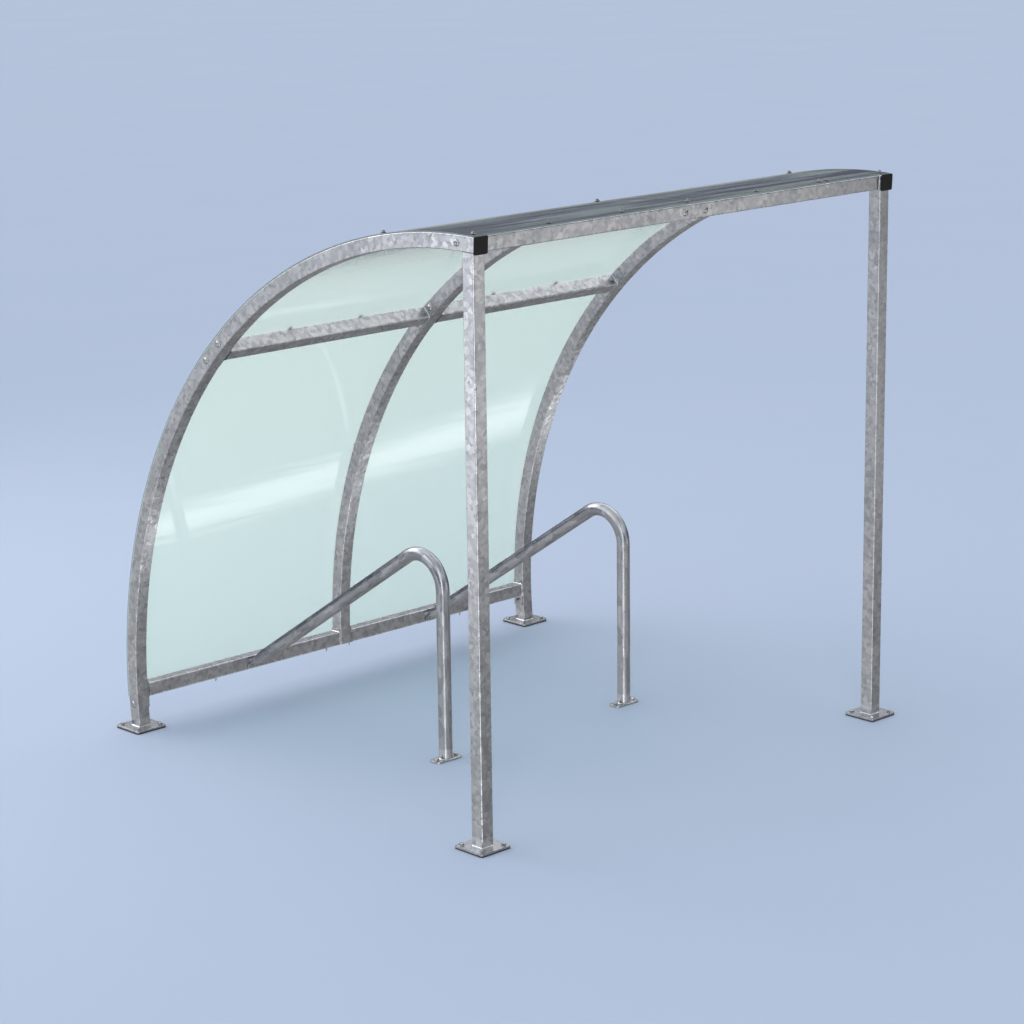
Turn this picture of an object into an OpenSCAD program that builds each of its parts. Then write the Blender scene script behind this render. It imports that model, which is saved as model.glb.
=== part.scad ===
// Two-bay bike shelter: curved tube arches, a front beam on two posts,
// clear curved sheets over the arches and a tube hoop stand in each bay.
// X runs along the front beam, Y from the open front to the back, Z up.

/* [Layout] */
// Distance between neighbouring arches, axis to axis
bay_w = 975; // [800:5:1300]
// Depth from the post axis to the arch foot axis
foot_span = 1816; // [1600:4:2200]
// Radius of the arches along the tube axis
arch_r = 1775; // [1700:5:2250]
// Height of the arches' centre above the ground
arch_centre_z = 185; // [120:5:300]

/* [Tubes] */
// Side of the square tube of arches, beam, purlins and rails
tube = 50; // [40:1:70]
// Side of the square tube of the posts
post_tube = 50; // [40:1:60]
// Wall of the square tubes
tube_wall = 3; // [2:0.5:5]
// Outer corner radius of the square tubes
tube_round = 4; // [3:0.5:6]

/* [Cross members] */
// Angle of the purlins on the arches, up from the back
purlin_angle = 46; // [35:1:60]
// Height of the bottom rails' axis above the ground
rail_z = 140; // [120:5:240]

/* [Feet] */
// Side of the square base plates
base_plate_w = 130; // [120:5:170]
// Thickness of the base plates
base_plate_t = 6; // [5:1:12]
// Thickness of the rubber pads under the base plates
base_pad_t = 5; // [3:1:8]
// Distance between the anchor holes of a base plate
base_hole_pitch = 96; // [90:2:104]
// Radius of the anchor holes
anchor_hole_r = 6; // [4:0.5:7]
// Corner radius of the base plates
base_corner_r = 7; // [4:1:12]

/* [Bolted joints] */
// Thickness of the end plates welded to the cross members
end_plate_t = 5; // [4:1:8]
// How far the end plates stay inside the tube's width on each side
end_plate_inset = 3; // [2.5:0.5:5]
// Distance of an end plate's bolt from the tube's axis, along the arch
end_bolt_offset = 48; // [44:1:60]
// Distance from a bolt hole to the end of its plate
end_bolt_margin = 17; // [14:1:22]
// Radius of the bolt holes in the end plates
end_bolt_r = 5.5; // [4:0.5:6.5]
// How far a rail plate's plain end runs past the rail
rail_plate_lip = 12; // [8:1:20]

/* [End caps] */
// How far a cap stands out past the tube on each side
cap_lip = 4; // [1:0.5:6]
// Thickness of a cap's face
cap_t = 5; // [3:0.5:8]
// Depth of a cap's plug in the tube
cap_plug = 20; // [12:1:30]
// Clearance between the plug and the tube on each side
cap_gap = 0.3; // [0.2:0.1:0.6]
// How far the arch ends stand out past the posts' front faces
arch_reach = 7; // [2:1:20]

/* [Clear sheets] */
// Thickness of the clear sheets
sheet_t = 4; // [3:0.5:6]
// Clearance between the sheets and the arches
sheet_seat = 0.4; // [0.3:0.1:2]
// Gap between the two sheets over the middle arch
sheet_gap = 4; // [2:1:8]
// How far the sheets stay short of the rail's lower face
sheet_margin = 4; // [0:1:12]

/* [Hoop stands] */
// Distance between the two hoops
hoop_pitch = 900; // [700:10:1100]
// Diameter of the hoop tube
hoop_d = 48.3; // [38:0.1:54]
// Wall of the hoop tube
hoop_wall = 2.6; // [2:0.1:4]
// Distance from the posts' axis to the hoop's upright
hoop_leg_y = 745; // [600:5:950]
// Height of the hoop tube's axis at its highest point
hoop_top_z = 725; // [600:5:870]
// Radius of the hoop's bend along the tube axis
hoop_bend_r = 115; // [90:5:150]
// Length of the hoop tube's flattened end
hoop_flat_l = 62; // [50:2:90]
// Width of the flattened end against the rail
hoop_flat_w = 74; // [60:1:90]
// Thickness of the flattened end
hoop_flat_t = 6; // [5:0.5:9]
// Length of the hoop's foot plate, across the shelter
hoop_foot_l = 120; // [110:2:150]
// Width of the hoop's foot plate
hoop_foot_w = 54; // [50:1:70]
// Thickness of the hoop's foot plate
hoop_foot_t = 6; // [5:1:10]
// Distance between the two anchor holes of a hoop's foot plate
hoop_hole_pitch = 92; // [84:2:100]
// Radius of the anchor holes in a hoop's foot plate
hoop_hole_r = 5; // [4:0.5:5.5]

/* [Hidden] */
zinc = "#a9adb2";
cap_black = "#1c1d1f";
pad_black = "#26272a";
clear_green = [0.80, 0.92, 0.90, 0.45];
round_fn = 64;
bend_fn = 120;
arch_fn = 360;
small_round = 0.8;   // least corner radius, inside a tube and on a cap's plug

half = tube / 2;
post_y = -foot_span / 2;
foot_y = foot_span / 2;
foot_top = base_pad_t + base_plate_t;
centre_y = foot_y - sqrt(arch_r * arch_r - pow(arch_centre_z - foot_top, 2));
inner_x = bay_w - half;   // inner faces of the side arches
beam_angle = acos((post_y - centre_y) / arch_r);
end_angle = acos((post_y - post_tube / 2 - arch_reach - centre_y) / arch_r);
rail_angle = asin((rail_z - arch_centre_z) / arch_r);
half_turn = half * 180 / (PI * arch_r);   // arc that spans half a tube
plate_reach = end_bolt_offset + end_bolt_margin;
plate_stub = half + rail_plate_lip;
flange_w = 2 * plate_reach;

// Points of a rectangle with round corners, about the origin
function round_rect(w, d, r, steps = 3) = [
    for (q = [0:3], i = [0:steps])
        let (
            a = 90 * (q + i / steps),
            cx = (w / 2 - r) * (q == 0 || q == 3 ? 1 : -1),
            cy = (d / 2 - r) * (q < 2 ? 1 : -1)
        )
        [cx + r * cos(a), cy + r * sin(a)]
];

module tube_section(side, wall = tube_wall) {
    difference() {
        polygon(round_rect(side, side, tube_round));
        polygon(round_rect(side - 2 * wall, side - 2 * wall, max(tube_round - wall, small_round)));
    }
}

// Turns a drawing in the plane of the arches upright: its X becomes Y, its Y becomes Z, its Z becomes X
module arch_plane() {
    translate([0, centre_y, arch_centre_z])
        rotate([90, 0, 90])
            children();
}

// Puts a piece on the arch axis at an angle: X points outwards, Y forwards along the arch
module on_arch(angle) {
    arch_plane()
        rotate([0, 0, angle])
            translate([arch_r, 0, 0])
                children();
}

module arch_tube(x, from, to) {
    arch_plane()
        translate([0, 0, x])
            rotate_extrude(angle = to - from, start = from, $fn = arch_fn)
                translate([arch_r, 0])
                    tube_section(tube);
}

module side_arch(x) {
    below = tube + foot_top;
    color(zinc)
        difference() {
            arch_tube(x, -asin((arch_centre_z - foot_top + half) / arch_r), end_angle);
            translate([x - tube, foot_y - 2 * tube, foot_top - below])
                cube([2 * tube, 4 * tube, below]);
        }
}

module arch_middle() {
    flange_back = half + end_plate_t;
    color(zinc)
        difference() {
            arch_tube(0, rail_angle - half_turn, beam_angle);
            on_arch(beam_angle)
                translate([-tube, -flange_back, -tube])
                    cube([2 * tube, tube + flange_back, 2 * tube]);
        }
}

// A post runs up to the underside of its arch
module post(x) {
    color(zinc)
        intersection() {
            translate([x, post_y, foot_top])
                linear_extrude(height = arch_centre_z + arch_r)
                    tube_section(post_tube);
            arch_plane()
                translate([0, 0, x - tube])
                    cylinder(h = 2 * tube, r = arch_r - half, $fn = arch_fn);
        }
}

// A straight tube across the arches
module cross_tube(angle, from, to) {
    color(zinc)
        on_arch(angle)
            translate([0, 0, from])
                linear_extrude(height = to - from)
                    tube_section(tube);
}

// A plate against an arch face, with a bolt hole beyond the tube on each side that it reaches
module end_plate(angle, x, behind, ahead) {
    color(zinc)
        on_arch(angle)
            translate([0, 0, x])
                difference() {
                    translate([end_plate_inset - half, -behind, 0])
                        cube([tube - 2 * end_plate_inset, behind + ahead, end_plate_t]);
                    for (side = [-1, 1])
                        if ((side < 0 ? behind : ahead) >= plate_reach)
                            translate([0, side * end_bolt_offset, -end_plate_t])
                                cylinder(h = 3 * end_plate_t, r = end_bolt_r, $fn = round_fn);
                }
}

module front_beam() {
    cross_tube(beam_angle, -inner_x + end_plate_t, inner_x - end_plate_t);
}

module beam_plates() {
    end_plate(beam_angle, -inner_x, plate_reach, half);
    end_plate(beam_angle, inner_x - end_plate_t, plate_reach, half);
}

// Flange that holds the middle arch to the back of the front beam
module arch_flange() {
    color(zinc)
        on_arch(beam_angle)
            translate([-half, -half - end_plate_t, -flange_w / 2])
                difference() {
                    cube([tube, end_plate_t, flange_w]);
                    for (side = [-1, 1])
                        translate([half, -end_plate_t, flange_w / 2 + side * end_bolt_offset])
                            rotate([-90, 0, 0])
                                cylinder(h = 3 * end_plate_t, r = end_bolt_r, $fn = round_fn);
                }
}

module end_cap(x) {
    cap_w = tube + 2 * cap_lip;
    plug_w = tube - 2 * tube_wall - 2 * cap_gap;
    color(cap_black)
        on_arch(end_angle)
            translate([0, 0, x])
                rotate([-90, 0, 0]) {
                    linear_extrude(height = cap_t)
                        polygon(round_rect(cap_w, cap_w, tube_round));
                    translate([0, 0, -cap_plug])
                        linear_extrude(height = cap_plug)
                            polygon(round_rect(plug_w, plug_w, small_round));
                }
}

module purlin_left() {
    cross_tube(purlin_angle, -inner_x + end_plate_t, -half - end_plate_t);
}

module purlin_right() {
    cross_tube(purlin_angle, half + end_plate_t, inner_x - end_plate_t);
}

module purlin_plates_left() {
    for (x = [-inner_x, -half - end_plate_t])
        end_plate(purlin_angle, x, plate_reach, plate_reach);
}

module purlin_plates_right() {
    for (x = [half, inner_x - end_plate_t])
        end_plate(purlin_angle, x, plate_reach, plate_reach);
}

module rail_left() {
    cross_tube(rail_angle, -inner_x + end_plate_t, -half - end_plate_t);
}

module rail_right() {
    cross_tube(rail_angle, half + end_plate_t, inner_x - end_plate_t);
}

module rail_plates_left() {
    end_plate(rail_angle, -inner_x, plate_reach, plate_stub);
    end_plate(rail_angle, -half - end_plate_t, half, plate_stub);
}

module rail_plates_right() {
    end_plate(rail_angle, half, half, plate_stub);
    end_plate(rail_angle, inner_x - end_plate_t, plate_reach, plate_stub);
}

module foot_slab(x, y, z, t) {
    translate([x, y, z])
        linear_extrude(height = t)
            difference() {
                polygon(round_rect(base_plate_w, base_plate_w, base_corner_r));
                for (sx = [-1, 1], sy = [-1, 1])
                    translate([sx, sy] * base_hole_pitch / 2)
                        circle(r = anchor_hole_r, $fn = round_fn);
            }
}

module base_plate(x, y) {
    color(zinc)
        foot_slab(x, y, base_pad_t, base_plate_t);
}

module base_pad(x, y) {
    color(pad_black)
        foot_slab(x, y, 0, base_pad_t);
}

// Clear sheet bent over the arches, from the rail to the beam's front edge
module sheet(from, to) {
    start = rail_angle - half_turn * (1 - sheet_margin / half);
    stop = beam_angle + half_turn;
    color(clear_green)
        arch_plane()
            rotate_extrude(angle = stop - start, start = start, $fn = arch_fn)
                translate([arch_r + half + sheet_seat, from])
                    square([sheet_t, to - from]);
}

module glazing_left() {
    sheet(-bay_w - half, -sheet_gap / 2);
}

module glazing_right() {
    sheet(sheet_gap / 2, bay_w + half);
}

// Hoop: an upright, a bend, and a slope whose axis meets the flattened end on the bottom rail
leg_y = post_y + hoop_leg_y;
bend_y = leg_y + hoop_bend_r;
bend_z = hoop_top_z - hoop_bend_r;
aim_r = arch_r - half - hoop_flat_t;
aim_y = centre_y + aim_r * cos(rail_angle) - bend_y;
aim_z = arch_centre_z + aim_r * sin(rail_angle) - bend_z;
slope_l = sqrt(aim_y * aim_y + aim_z * aim_z - hoop_bend_r * hoop_bend_r);
slope = atan2(hoop_bend_r, slope_l) - atan2(aim_z, aim_y);
flat_h = tube - 2 * tube_round;

// Puts a piece at the bend's centre: X points back, Y up, Z across the shelter
module hoop_plane(x) {
    translate([x, bend_y, bend_z])
        rotate([90, 0, 90])
            children();
}

// Puts a piece on the slope's axis at a distance from the bend, with Z along the slope
module on_slope(x, along) {
    hoop_plane(x)
        rotate([0, 0, -slope])
            translate([along, hoop_bend_r, 0])
                rotate([0, 90, 0])
                    children();
}

module hoop_section() {
    difference() {
        circle(d = hoop_d, $fn = round_fn);
        circle(d = hoop_d - 2 * hoop_wall, $fn = round_fn);
    }
}

// Upright and bend of a hoop
module hoop_upright(x) {
    color(zinc) {
        translate([x, leg_y, hoop_foot_t])
            linear_extrude(height = bend_z - hoop_foot_t)
                hoop_section();
        hoop_plane(x)
            rotate_extrude(angle = 90 + slope, start = 90 - slope, $fn = bend_fn)
                translate([hoop_bend_r, 0])
                    hoop_section();
    }
}

// Straight run of a hoop, from the bend down to its flattened end
module hoop_slope(x) {
    color(zinc)
        on_slope(x, 0)
            linear_extrude(height = slope_l - hoop_flat_l)
                hoop_section();
}

// The tube's end, squeezed flat against the face of the bottom rail
module hoop_end(x) {
    color(zinc)
        hull() {
            on_slope(x, slope_l - hoop_flat_l)
                cylinder(h = 1, d = hoop_d, $fn = 32);
            on_arch(rail_angle)
                translate([-half - hoop_flat_t, -flat_h / 2, x - hoop_flat_w / 2])
                    cube([hoop_flat_t, flat_h, hoop_flat_w]);
        }
}

module hoop_foot(x) {
    color(zinc)
        translate([x, leg_y, 0])
            linear_extrude(height = hoop_foot_t)
                difference() {
                    polygon(round_rect(hoop_foot_l, hoop_foot_w, hoop_foot_w / 3));
                    for (side = [-1, 1])
                        translate([side * hoop_hole_pitch / 2, 0])
                            circle(r = hoop_hole_r, $fn = round_fn);
                }
}

side_arch(-bay_w);  // arch_left
arch_middle();
side_arch(bay_w);  // arch_right
post(-bay_w);  // post_left
post(bay_w);  // post_right
front_beam();
beam_plates();
arch_flange();
end_cap(-bay_w);  // end_cap_left
end_cap(bay_w);  // end_cap_right
purlin_left();
purlin_right();
purlin_plates_left();
purlin_plates_right();
rail_left();
rail_right();
rail_plates_left();
rail_plates_right();
base_plate(-bay_w, post_y);  // base_plate_post_left
base_plate(bay_w, post_y);  // base_plate_post_right
base_plate(-bay_w, foot_y);  // base_plate_arch_left
base_plate(bay_w, foot_y);  // base_plate_arch_right
base_pad(-bay_w, post_y);  // base_pad_post_left
base_pad(bay_w, post_y);  // base_pad_post_right
base_pad(-bay_w, foot_y);  // base_pad_arch_left
base_pad(bay_w, foot_y);  // base_pad_arch_right
glazing_left();
glazing_right();
hoop_upright(-hoop_pitch / 2);  // hoop_upright_left
hoop_upright(hoop_pitch / 2);  // hoop_upright_right
hoop_slope(-hoop_pitch / 2);  // hoop_slope_left
hoop_slope(hoop_pitch / 2);  // hoop_slope_right
hoop_end(-hoop_pitch / 2);  // hoop_end_left
hoop_end(hoop_pitch / 2);  // hoop_end_right
hoop_foot(-hoop_pitch / 2);  // hoop_foot_left
hoop_foot(hoop_pitch / 2);  // hoop_foot_right
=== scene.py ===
import bpy
import bmesh
import math
from mathutils import Matrix, Vector, noise


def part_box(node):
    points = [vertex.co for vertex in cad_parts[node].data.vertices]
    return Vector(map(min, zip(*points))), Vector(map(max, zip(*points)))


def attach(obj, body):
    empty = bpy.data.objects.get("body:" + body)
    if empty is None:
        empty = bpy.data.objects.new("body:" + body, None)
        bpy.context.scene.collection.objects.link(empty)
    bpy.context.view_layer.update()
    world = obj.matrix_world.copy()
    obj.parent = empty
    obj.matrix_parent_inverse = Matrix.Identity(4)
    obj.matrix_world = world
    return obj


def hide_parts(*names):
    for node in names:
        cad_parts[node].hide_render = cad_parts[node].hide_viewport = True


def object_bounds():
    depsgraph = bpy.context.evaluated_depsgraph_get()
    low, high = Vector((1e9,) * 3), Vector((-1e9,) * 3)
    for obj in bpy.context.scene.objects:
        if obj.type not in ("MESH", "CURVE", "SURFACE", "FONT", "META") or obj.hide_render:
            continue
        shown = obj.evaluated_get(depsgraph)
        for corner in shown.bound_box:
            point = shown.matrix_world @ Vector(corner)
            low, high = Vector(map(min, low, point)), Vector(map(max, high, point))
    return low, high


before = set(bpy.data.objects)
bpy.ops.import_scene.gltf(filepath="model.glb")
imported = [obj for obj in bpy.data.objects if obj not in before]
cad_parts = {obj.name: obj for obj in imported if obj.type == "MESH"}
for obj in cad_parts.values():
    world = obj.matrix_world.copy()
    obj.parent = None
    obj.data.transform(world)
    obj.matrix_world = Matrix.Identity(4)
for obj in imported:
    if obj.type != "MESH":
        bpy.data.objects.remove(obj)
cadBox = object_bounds()
print("frame loaded:", len(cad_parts), "nodes")

# Places that the frame gives: the tubes' size, the arches' circle and the crossings on it

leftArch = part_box("arch_left")
tube = leftArch[1].x - leftArch[0].x
half = tube / 2
bayWidth = -(leftArch[0].x + half)               # axis of the side arches, the middle one is at 0
archRadius = 1.775                               # to the tube's axis
archCentre = Vector((0, leftArch[1].y - archRadius - half, leftArch[1].z - archRadius - half))
postPlace = (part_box("post_right")[0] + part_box("post_right")[1]) / 2
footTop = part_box("base_plate_post_left")[1].z
innerX = bayWidth - half                         # the inner faces of the side arches
endPlate = 0.005                                 # thickness of the plates on the cross tubes' ends
cornerRadius = 0.004                             # round corner of the square tube
beamAngle = math.acos((postPlace.y - archCentre.y) / archRadius)


def angleOf(node):
    # angle on the arch of a tube that crosses it, 0 at the back and 90 degrees straight up
    low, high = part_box(node)
    middle = (low + high) / 2 - archCentre
    return math.atan2(middle.z, middle.y)


purlinAngle = angleOf("purlin_left")
railAngle = angleOf("rail_left")


def onArch(angle, x=0.0, out=0.0, along=0.0):
    # local X points outwards, Y forwards along the arch, Z to the right of the shelter
    turn = Matrix(((0, 0, 1), (math.cos(angle), -math.sin(angle), 0), (math.sin(angle), math.cos(angle), 0)))
    place = archCentre + Vector((x, 0, 0)) + turn @ Vector((archRadius + out, along, 0))
    return Matrix.Translation(place) @ turn.to_4x4()


def facing(place, direction):
    # puts something made along +Z at a place, pointing in a direction
    return Matrix.Translation(place) @ Vector(direction).to_track_quat("Z", "Y").to_matrix().to_4x4()


# Colours and nodes

def linear(hexText):
    # sRGB hex to the linear colour that shaders take
    shares = [int(hexText[i:i + 2], 16) / 255 for i in (1, 3, 5)]
    return tuple(s / 12.92 if s <= 0.04045 else ((s + 0.055) / 1.055) ** 2.4 for s in shares) + (1.0,)


def addNode(tree, kind, settings=None, links=None):
    # a key that is an input sets that input, any other key sets the node itself
    node = tree.nodes.new(kind)
    for key, value in (settings or {}).items():
        if isinstance(key, int) or key in node.inputs:
            node.inputs[key].default_value = value
        else:
            setattr(node, key, value)
    for key, (source, output) in (links or {}).items():
        tree.links.new(source.outputs[output], node.inputs[key])
    return node


def newMaterial(name):
    material = bpy.data.materials.new(name)
    material.use_nodes = True
    tree = material.node_tree
    tree.nodes.clear()
    place = addNode(tree, "ShaderNodeTexCoord")
    out = addNode(tree, "ShaderNodeOutputMaterial")
    return material, tree, place, out


def perMetre(millimetres):
    return 1000 / millimetres


# Hot-dip galvanised steel. The zinc freezes into flat crystals that each lean their own way a
# little, so neighbouring patches take the light differently: a soft mosaic.
zincCoat = {
    "spangle": 15,           # mm, width of one crystal
    "feather": 9,            # mm, size of the ragged crystal edges
    "frost": 3.0,            # mm, grain inside a crystal
    "drawn": (1, 1, 1),      # less than 1 draws the pattern out along that axis
    "cloud": 130,            # mm, slow change of the coating's thickness
    "dark": "#8a8d94",
    "light": "#cacccf",
    "frostShare": 0.8,       # how much the grain and the clouds shade the crystals
    "cloudShare": 0.9,
    "range": (0.4, 2.15),    # of these three together, from the dark colour to the light one
    "lean": 0.035,           # how far the crystals tilt
    "depth": 0.0004,         # m, relief of the grain
    "smooth": 0.23,
    "rough": 0.37,
    "foot": (0.0115, 0.042), # m, brighter between these heights
    "footGain": 0.6,
}


def galvanisedSteel(name, coat):
    material, tree, place, out = newMaterial(name)
    drawn = addNode(tree, "ShaderNodeVectorMath", {"operation": "MULTIPLY", 1: coat["drawn"]},
                    {0: (place, "Object")})
    ragged = addNode(tree, "ShaderNodeTexNoise", {"Scale": perMetre(coat["feather"]), "Detail": 2.0},
                     {"Vector": (drawn, "Vector")})
    warped = addNode(tree, "ShaderNodeVectorMath",
                     {"operation": "MULTIPLY_ADD", 1: [coat["feather"] / 1000] * 3},
                     {0: (ragged, "Color"), 2: (drawn, "Vector")})
    crystals = addNode(tree, "ShaderNodeTexVoronoi", {"Scale": perMetre(coat["spangle"])},
                       {"Vector": (warped, "Vector")})
    frost = addNode(tree, "ShaderNodeTexNoise", {"Scale": perMetre(coat["frost"]), "Detail": 2.0},
                    {"Vector": (place, "Object")})
    cloud = addNode(tree, "ShaderNodeTexNoise", {"Scale": perMetre(coat["cloud"]), "Detail": 3.0},
                    {"Vector": (place, "Object")})
    parts = addNode(tree, "ShaderNodeSeparateColor", None, {"Color": (crystals, "Color")})
    grain = addNode(tree, "ShaderNodeMath", {"operation": "MULTIPLY_ADD", 1: coat["frostShare"]},
                    {0: (frost, "Fac"), 2: (parts, "Red")})
    shade = addNode(tree, "ShaderNodeMath", {"operation": "MULTIPLY_ADD", 1: coat["cloudShare"]},
                    {0: (cloud, "Fac"), 2: (grain, "Value")})
    height = addNode(tree, "ShaderNodeSeparateXYZ", None, {"Vector": (place, "Object")})
    low, high = coat["foot"]
    below = addNode(tree, "ShaderNodeMapRange",
                    {"From Min": high - 0.003, "From Max": high + 0.003, "To Min": coat["footGain"],
                     "To Max": 0.0}, {"Value": (height, "Z")})
    above = addNode(tree, "ShaderNodeMapRange", {"From Min": low, "From Max": low + 0.0005},
                    {"Value": (height, "Z")})
    foot = addNode(tree, "ShaderNodeMath", {"operation": "MULTIPLY"},
                   {0: (below, "Result"), 1: (above, "Result")})
    brighter = addNode(tree, "ShaderNodeMath", {"operation": "ADD"},
                       {0: (shade, "Value"), 1: (foot, "Value")})
    ramp = addNode(tree, "ShaderNodeMapRange", {"From Min": coat["range"][0], "From Max": coat["range"][1]},
                   {"Value": (brighter, "Value")})
    colour = addNode(tree, "ShaderNodeMix",
                     {"data_type": "RGBA", 6: linear(coat["dark"]), 7: linear(coat["light"])},
                     {0: (ramp, "Result")})
    rough = addNode(tree, "ShaderNodeMapRange", {"To Min": coat["smooth"], "To Max": coat["rough"]},
                    {"Value": (parts, "Green")})
    tilt = addNode(tree, "ShaderNodeVectorMath", {"operation": "SUBTRACT", 1: (0.5, 0.5, 0.5)},
                   {0: (crystals, "Color")})
    surface = addNode(tree, "ShaderNodeNewGeometry")
    leaned = addNode(tree, "ShaderNodeVectorMath", {"operation": "MULTIPLY_ADD", 1: [coat["lean"]] * 3},
                     {0: (tilt, "Vector"), 2: (surface, "Normal")})
    level = addNode(tree, "ShaderNodeVectorMath", {"operation": "NORMALIZE"}, {0: (leaned, "Vector")})
    bump = addNode(tree, "ShaderNodeBump", {"Strength": 0.25, "Distance": coat["depth"]},
                   {"Height": (frost, "Fac"), "Normal": (level, "Vector")})
    steel = addNode(tree, "ShaderNodeBsdfPrincipled", {"Metallic": 1.0},
                    {"Base Color": (colour, 2), "Roughness": (rough, "Result"), "Normal": (bump, "Normal")})
    tree.links.new(steel.outputs["BSDF"], out.inputs["Surface"])
    return material


# Bright zinc-plated steel, cold-headed: the fasteners, smooth with a small hard highlight
platedZinc = {"colour": "#a3a6ab", "smooth": 0.16, "rough": 0.34, "grain": 2.5}

# Black polyethylene, injection-moulded: a dull sheen over a very fine sparked texture
capPlastic = {"colour": "#0d0d0d", "rough": 0.45, "specular": 0.25, "grain": 0.8, "depth": 0.00006}

# Black EPDM, cut from sheet: matt, with the pale bloom that rubber gets outdoors
padRubber = {"colour": "#1e1f21", "bloom": "#3a3b3d", "rough": 0.72, "grain": 1.6, "depth": 0.00015}

# Extruded clear sheet with a light green tint: a slight haze inside catches the light, and
# the hard glossy skin on both faces turns it into a mirror where it is seen along its face
clearSheet = {"tint": "#f2fcf8", "haze": 0.41, "hazeColour": "#f1f8f0", "rough": 0.04, "ior": 1.585,
              "mirror": (0.2, 0.5), "wave": 38, "stretch": 0.06, "depth": 0.0006,
              "hazeBack": 0.7,      # share of the haze that passes light on; the rest throws it back
              "skin": 0.9,          # share of the mirror that shows everywhere
              "steepSkin": 0.62,    # what is added to it where the sheet is seen along its face
              "streaks": 0.66}      # what the top mirrors where rain has left its film

# The sheet's sawn edge: the same plastic, frosted white-green by the saw
sawnEdge = {"colour": "#7f9092", "through": 0.2, "rough": 0.5, "grain": 0.9, "depth": 0.0002}


def grainyMaterial(name, look, metallic=0.0, second=None):
    # one even colour under a fine bump, with a second colour where one is given; it and the
    # change in roughness come in patches of 14 grains
    material, tree, place, out = newMaterial(name)
    grain = addNode(tree, "ShaderNodeTexNoise", {"Scale": perMetre(look["grain"]), "Detail": 3.0},
                    {"Vector": (place, "Object")})
    patches = addNode(tree, "ShaderNodeTexNoise", {"Scale": perMetre(look["grain"] * 14), "Detail": 3.0},
                      {"Vector": (place, "Object")})
    bump = addNode(tree, "ShaderNodeBump", {"Strength": 0.6, "Distance": look.get("depth", 0.00003)},
                   {"Height": (grain, "Fac")})
    rough = addNode(tree, "ShaderNodeMapRange",
                    {"From Min": 0.3, "From Max": 0.7, "To Min": look.get("smooth", look["rough"] * 0.85),
                     "To Max": look["rough"]}, {"Value": (patches, "Fac")})
    colour = addNode(tree, "ShaderNodeMix",
                     {"data_type": "RGBA", 6: linear(look["colour"]), 7: linear(second or look["colour"])},
                     {0: (patches, "Fac")})
    shader = addNode(tree, "ShaderNodeBsdfPrincipled",
                     {"Metallic": metallic, "Specular IOR Level": look.get("specular", 0.5)},
                     {"Base Color": (colour, 2), "Roughness": (rough, "Result"), "Normal": (bump, "Normal")})
    tree.links.new(shader.outputs["BSDF"], out.inputs["Surface"])
    return material


def sheetMaterial(name, look):
    # extrusion leaves long shallow waves across the bays, which draw its reflections into streaks
    material, tree, place, out = newMaterial(name)
    drawn = addNode(tree, "ShaderNodeVectorMath", {"operation": "MULTIPLY", 1: (look["stretch"], 1, 1)},
                    {0: (place, "Object")})
    waves = addNode(tree, "ShaderNodeTexNoise", {"Scale": perMetre(look["wave"]), "Detail": 2.0},
                    {"Vector": (drawn, "Vector")})
    bump = addNode(tree, "ShaderNodeBump", {"Strength": 1.0, "Distance": look["depth"]},
                   {"Height": (waves, "Fac")})
    clear = addNode(tree, "ShaderNodeBsdfTransparent", {"Color": linear(look["tint"])})
    front = addNode(tree, "ShaderNodeBsdfDiffuse", {"Color": linear(look["hazeColour"])})
    back = addNode(tree, "ShaderNodeBsdfTranslucent", {"Color": linear(look["hazeColour"])})
    haze = addNode(tree, "ShaderNodeMixShader", {0: look["hazeBack"]},
                   {1: (front, "BSDF"), 2: (back, "BSDF")})
    body = addNode(tree, "ShaderNodeMixShader", {0: look["haze"]}, {1: (clear, "BSDF"), 2: (haze, "Shader")})
    gloss = addNode(tree, "ShaderNodeBsdfGlossy", {"Color": (1, 1, 1, 1), "Roughness": look["rough"]},
                    {"Normal": (bump, "Normal")})
    mirrored = addNode(tree, "ShaderNodeFresnel", {"IOR": look["ior"]})
    steep = addNode(tree, "ShaderNodeMapRange",
                    {"interpolation_type": "SMOOTHSTEP", "From Min": look["mirror"][0],
                     "From Max": look["mirror"][1], "To Max": look["steepSkin"]},
                    {"Value": (mirrored, "Fac")})
    both = addNode(tree, "ShaderNodeMath", {"operation": "MULTIPLY_ADD", 1: look["skin"], "use_clamp": True},
                   {0: (mirrored, "Fac"), 2: (steep, "Result")})
    surface = addNode(tree, "ShaderNodeNewGeometry")
    upwards = addNode(tree, "ShaderNodeSeparateXYZ", None, {"Vector": (surface, "Normal")})
    dusty = addNode(tree, "ShaderNodeMapRange", {"From Max": 0.8, "To Min": 1.0, "To Max": look["streaks"]},
                    {"Value": (upwards, "Z")})
    streaked = addNode(tree, "ShaderNodeMapRange", {"From Min": 0.38, "From Max": 0.62, "To Max": 1.0},
                       {"Value": (waves, "Fac"), "To Min": (dusty, "Result")})
    uneven = addNode(tree, "ShaderNodeMath", {"operation": "MULTIPLY"},
                     {0: (both, "Value"), 1: (streaked, "Result")})
    # only a face seen from outside the plastic mirrors the room, so that the two skins don't add up
    outer = addNode(tree, "ShaderNodeMath", {"operation": "SUBTRACT", 0: 1.0}, {1: (surface, "Backfacing")})
    share = addNode(tree, "ShaderNodeMath", {"operation": "MULTIPLY"},
                    {0: (uneven, "Value"), 1: (outer, "Value")})
    sheen = addNode(tree, "ShaderNodeMixShader", None,
                    {0: (share, "Value"), 1: (body, "Shader"), 2: (gloss, "BSDF")})
    tree.links.new(sheen.outputs["Shader"], out.inputs["Surface"])
    return material


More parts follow.
